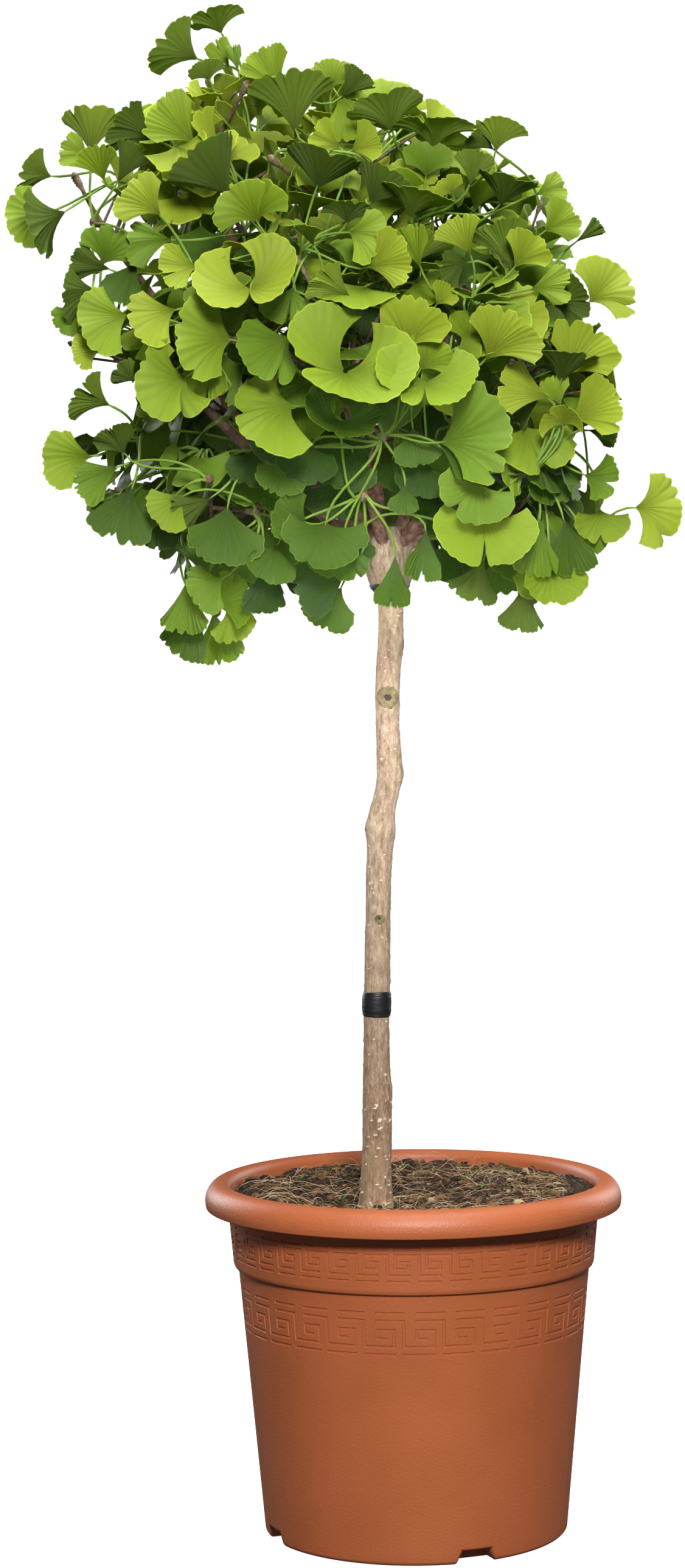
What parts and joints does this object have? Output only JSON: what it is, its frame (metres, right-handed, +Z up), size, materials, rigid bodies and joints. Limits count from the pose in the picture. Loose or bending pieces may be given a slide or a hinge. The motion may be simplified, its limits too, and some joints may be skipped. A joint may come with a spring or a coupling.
{
  "type": "potted dwarf ginkgo tree, grafted as a standard",
  "caption": "Small ginkgo grown as a standard: a clear straight stem, a swollen graft, a round head of fan-shaped leaves, in a round pot with a rolled lip and a meander relief.",
  "frame": {"origin": "centre of the pot's flat underside", "axes": "+Z up along the pot's axis, +X to the right and -Y to the front of the plant"},
  "size_m": [0.5756, 0.5059, 1.2749],
  "materials": {
    "pot": "satin, finely stippled terracotta colour",
    "soil": "rough moist peat with bark crumbs and fibres",
    "bark": "matt bark, finely cracked, with lenticels",
    "bough": "smooth reddish-brown young bark",
    "tape": "black tying tape, slightly glossy",
    "leaf": "fresh yellow-green leaves, satin, finely ribbed"
  },
  "bodies": {
    "root": {"pot": "pot", "soil": "soil", "trunk": "bark", "tie_lower": "tape", "tie_upper": "tape", "bough_upper_middle": "bough", "bough_upper_left": "bough", "bough_upper_right": "bough", "bough_upper_back": "bough", "bough_front": "bough", "bough_front_right": "bough", "bough_left": "bough", "bough_right": "bough", "bough_back_left": "bough", "bough_back_right": "bough", "bough_left_spray": "bough", "bough_lower_left": "bough", "bough_lower_right": "bough", "foliage_upper_middle": "leaf", "foliage_upper_left": "leaf", "foliage_upper_right": "leaf", "foliage_upper_back": "leaf", "foliage_front": "leaf", "foliage_front_right": "leaf", "foliage_left": "leaf", "foliage_right": "leaf", "foliage_back_left": "leaf", "foliage_back_right": "leaf", "foliage_left_spray": "leaf", "foliage_lower_left": "leaf", "foliage_lower_right": "leaf"}
  },
  "joints": []
}
